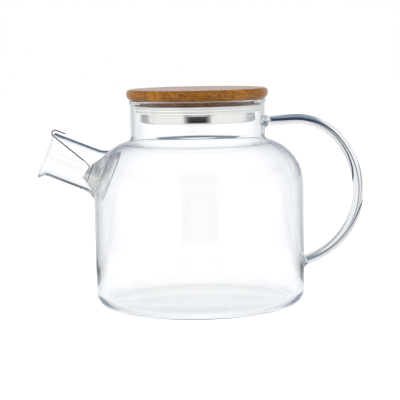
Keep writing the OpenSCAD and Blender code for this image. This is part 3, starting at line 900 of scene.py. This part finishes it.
up, side, away = wire_line().T
rings, tips = sweep(on_axes(WIRE_AXES, away, up, side), WIRE_R, WIRE_SIDES)
wire = Skin()
ids = wire.add(rings)
wire.net(ids)
wire.cap(ids[0], tips[0], inwards=True)
wire.cap(ids[-1], tips[1])
make_piece("wound_wire_filter", wire, drawn_wire(), "filter", "wire_steel", ("spout_filter",))


# ---------- floor, light and camera ----------

# Here sizes are in metres, from the middle of the pot's foot. The viewer stands in front.
VIEWER = 0.94
WHITE = linear("#FFFFFF")
# A little over white, for what two walls throw back
BRIGHT = linear("#FFFFFF", 1.08)
DARK_FRONT = "#0A0C0E"


def after_pot(tree, mirror, rod, edge, through):
    """The colour that a ray finds after it has met the pot: thrown back by metal or by the pot's
    outside, bent by solid glass, thrown about inside the wall's edge, or straight through two
    walls. Also 1 where the ray has met the pot at all, and 1 where it comes from the viewer."""
    # A ray is bent once into each wall and once out of it
    none, one_wall_through = 0.5, 3.5
    path = add_node(tree, "LightPath").outputs
    met = add_node(tree, "Math", LARGER, path["Is Transmission Ray"], path["Is Glossy Ray"])
    thrown = add_node(tree, "Math", MORE_THAN, path["Glossy Depth"], none)
    entered = add_node(tree, "Math", MORE_THAN, path["Transmission Depth"], none)
    far = add_node(tree, "Math", MORE_THAN, path["Transmission Depth"], one_wall_through)
    one_wall = add_node(tree, "Mix", COLOURS, thrown, _6=rod, _7=edge)
    two_walls = add_node(tree, "Mix", COLOURS, thrown, _6=through, _7=mirror)
    bent = add_node(tree, "Mix", COLOURS, far, _6=one_wall, _7=two_walls)
    colour = add_node(tree, "Mix", COLOURS, entered, _6=mirror, _7=bent)
    return colour, met, path["Is Camera Ray"]


def distance(tree, x, y):
    """Squared distance from the pot's axis, and distance."""
    squared = add_node(tree, "Math", TIMES_PLUS, y, y, add_node(tree, "Math", TIMES, x, x))
    return squared, add_node(tree, "Math", ROOT, squared)


def forwards(tree, y, away):
    """0 where a place lies towards the viewer, 1 where it lies behind the pot: half of one more
    than y over the distance."""
    return add_node(tree, "Math", TIMES_PLUS, add_node(tree, "Math", OVER, y, away), 0.5, 0.5)


def mirrored_room(tree, y, away, front):
    """The room as metal shows it: a front colour towards the viewer, white soft boxes on both
    sides, then grey walls and the white backdrop."""
    room = (
        (0.0, front),
        (0.018, front),
        (0.035, "#9A9A98"),
        (0.06, "#FFFFFF"),
        (0.6, "#FFFFFF"),
        (0.75, "#A9ABAD"),
        (0.88, "#A9ABAD"),
        (0.95, "#FFFFFF"),
    )
    return add_node(tree, "ValToRGB", {"stops": room}, forwards(tree, y, away))


def lane_stops(start, full, until, end):
    """A colour ramp's stops for a lane: black outside it and white within."""
    return {"stops": ((start, "#000000"), (full, "#FFFFFF"), (until, "#FFFFFF"), (end, "#000000"))}


def studio_floor():
    """Matt white paper under the pot, bright enough to look white, that keeps the pot's soft
    shadow. Bent and mirrored rays find lanes of slate and navy on it, beside the axes."""
    material, tree = new_material("matt_white_paper")
    place = add_node(tree, "TexCoord").outputs["Object"]
    x, y, _ = add_node(tree, "SeparateXYZ", Vector=place).outputs
    squared, away = distance(tree, x, y)
    wide, deep = (add_node(tree, "Math", SIZE_OF, way) for way in (x, y))
    nearer = add_node(tree, "Math", SMALLER, wide, deep)
    # How far to the side of the nearer axis a place lies, as the viewer sees it
    side = add_node(tree, "Math", OVER, nearer, add_node(tree, "Math", PLUS, away, VIEWER))

    near = add_node(tree, "MapRange", SMOOTHLY, Value=squared, From_Min=0.012, From_Max=0.04)
    room = mirrored_room(tree, y, away, DARK_FRONT)
    mirror = add_node(tree, "Mix", COLOURS, near, _6=WHITE, _7=room)

    # A slate lane for the edges of the spout and body
    lane = add_node(tree, "ValToRGB", lane_stops(0.06, 0.07, 0.11, 0.125), side)
    slate = ((0.08, "#D4D8DA"), (0.1, "#10161E"), (0.25, "#1E2834"), (0.5, "#5A6A7E"))
    slate = add_node(tree, "ValToRGB", {"stops": slate}, away)
    paler = ((0.0, "#FFFFFF"), (0.03, "#F2F4F6"), (0.06, "#DCE0E2"), (0.125, "#D2D7DA"))
    paler = add_node(tree, "ValToRGB", {"stops": paler}, side)
    edge = add_node(tree, "Mix", COLOURS, lane, _6=paler, _7=slate)

    # The dark front of the room, beyond the paper, as the inside of the neck's wall shows it
    front = {"stops": ((0.0, "#FFFFFF"), (0.03, "#FFFFFF"), (0.06, "#000000"))}
    front = add_node(tree, "ValToRGB", front, forwards(tree, y, away))
    beyond = add_node(tree, "MapRange", SMOOTHLY, Value=away, From_Min=0.95, From_Max=1.1)
    beyond = add_node(tree, "Math", TIMES, front, beyond)
    edge = add_node(tree, "Mix", COLOURS, beyond, _6=edge, _7=linear(DARK_FRONT))

    # A navy lane for the handle's level rod, grey in front of the pot and behind it
    lane = add_node(tree, "ValToRGB", lane_stops(0.042, 0.05, 0.08, 0.09), side)
    navy = (
        (0.04, "#F0F1F4"),
        (0.05, "#7B828A"),
        (0.1, "#96A9AC"),
        (0.165, "#70849A"),
        (0.26, "#324766"),
        (0.5, "#15233E"),
    )
    reach = add_node(tree, "Math", TIMES, away, 0.5)
    navy = add_node(tree, "ValToRGB", {"stops": navy}, reach)
    beside = add_node(tree, "Math", MORE_THAN, wide, deep)
    navy = add_node(tree, "Mix", COLOURS, beside, _6=navy, _7=linear("#A9B1B8"))
    rod = add_node(tree, "Mix", COLOURS, lane, _6=linear("#F0F1F4"), _7=navy)

    seen, met, from_viewer = after_pot(tree, mirror, rod, edge, BRIGHT)
    paper = add_node(tree, "BsdfDiffuse", Color=linear("#F3F3F3"))
    glow = add_node(tree, "Emission", Color=WHITE, Strength=0.45)
    white = add_node(tree, "AddShader", None, paper, glow)
    shown = add_node(tree, "MixShader", None, from_viewer, paper, white)
    lit = add_node(tree, "Emission", Color=seen, Strength=1.0)
    both = add_node(tree, "MixShader", None, met, shown, lit)
    add_node(tree, "OutputMaterial", Surface=both)
    return material


def studio_room():
    """The room round the floor: plain grey light for the pot, white for the viewer, and a pattern
    for glass and metal that follows how high a ray points, from 0 at the level to 1 straight up."""
    world = bpy.data.worlds.new("studio")
    world.use_nodes = True
    tree = world.node_tree
    tree.nodes.clear()
    way = add_node(tree, "TexCoord").outputs["Generated"]
    x, y, z = add_node(tree, "SeparateXYZ", Vector=way).outputs
    _, away = distance(tree, x, y)
    # Above the backdrop the room is dark, up to the soft light overhead
    edge = ((0.0, "#66768A"), (0.45, "#586A80"), (0.65, "#C4C9D1"), (0.85, "#FFFFFF"))
    edge = add_node(tree, "ValToRGB", {"stops": edge}, z)
    above = add_node(tree, "MapRange", SMOOTHLY, Value=z, From_Min=0.12, From_Max=0.2)
    overhead = ((0.27, "#E2E5EC"), (0.38, "#56647A"), (0.6, "#56647A"), (0.9, "#A4ACB8"))
    overhead = add_node(tree, "ValToRGB", {"stops": overhead}, z)
    room = mirrored_room(tree, y, away, "#D8DBDE")
    mirror = add_node(tree, "Mix", COLOURS, above, _6=room, _7=overhead)
    rod = (
        (0.0, "#1C2B48"),
        (0.03, "#1C2B48"),
        (0.06, "#DADADB"),
        (0.2, "#DDDDDE"),
        (0.4, "#ECECED"),
        (0.6, "#F9F9F9"),
    )
    rod = add_node(tree, "ValToRGB", {"stops": rod}, z)
    seen, met, from_viewer = after_pot(tree, mirror, rod, edge, BRIGHT)
    light = add_node(tree, "Mix", COLOURS, met, _6=linear("#E1E1E2"), _7=seen)
    shown = add_node(tree, "Mix", COLOURS, from_viewer, _6=light, _7=WHITE)
    back = add_node(tree, "Background", Color=shown, Strength=1.0)
    add_node(tree, "OutputWorld", Surface=back)
    return world


def soft_lamp(name, place, aim, size, power):
    """A soft box at place, turned towards aim, of size width by height, in metres and watts."""
    data = bpy.data.lights.new(name, "AREA")
    data.shape = "RECTANGLE"
    data.size, data.size_y = size
    data.energy = power
    lamp = bpy.data.objects.new(name, data)
    bpy.context.scene.collection.objects.link(lamp)
    z = np.array(place, float) - np.array(aim, float)
    z /= np.linalg.norm(z)
    x = np.cross([0, 0, 1.0], z)
    x /= np.linalg.norm(x)
    y = np.cross(z, x)
    turn = Matrix(np.stack([x, y, z], axis=1).tolist()).to_4x4()
    lamp.matrix_world = Matrix.Translation(place) @ turn
    lamp.visible_glossy = lamp.visible_transmission = False


floor_mesh = bpy.data.meshes.new("floor")
half = 4.0
corners = [(-half, -half, 0), (half, -half, 0), (half, half, 0), (-half, half, 0)]
floor_mesh.from_pydata(corners, [], [(0, 1, 2, 3)])
floor_mesh.materials.append(studio_floor())
floor = bpy.data.objects.new("floor", floor_mesh)
bpy.context.scene.collection.objects.link(floor)

bpy.context.scene.world = studio_room()

pot_middle = (0, 0, 0.07)
soft_lamp("key", (-0.9, -0.9, 1.3), pot_middle, (0.7, 0.7), 14)
soft_lamp("fill", (1.2, -0.8, 0.8), pot_middle, (0.5, 0.9), 5)

# The view looks down at the pot by TILT, and is turned by ROLL from the level
VIEWER_SIDE, VIEWER_HEIGHT = 0.00065, 0.172
TILT, ROLL = 6.36 * DEG, 1.066 * DEG
camera_data = bpy.data.cameras.new("camera")
camera_data.lens, camera_data.sensor_width = 132.1, 36.0
camera_data.clip_start, camera_data.clip_end = 0.05, 20
camera = bpy.data.objects.new("camera", camera_data)
bpy.context.scene.collection.objects.link(camera)
camera.matrix_world = (
    Matrix.Translation((VIEWER_SIDE, -VIEWER, VIEWER_HEIGHT))
    @ Matrix.Rotation(math.pi / 2 - TILT, 4, "X")
    @ Matrix.Rotation(-ROLL, 4, "Z")
)
bpy.context.scene.camera = camera
bpy.context.scene.view_settings.view_transform = "Standard"

bpy.context.view_layer.update()
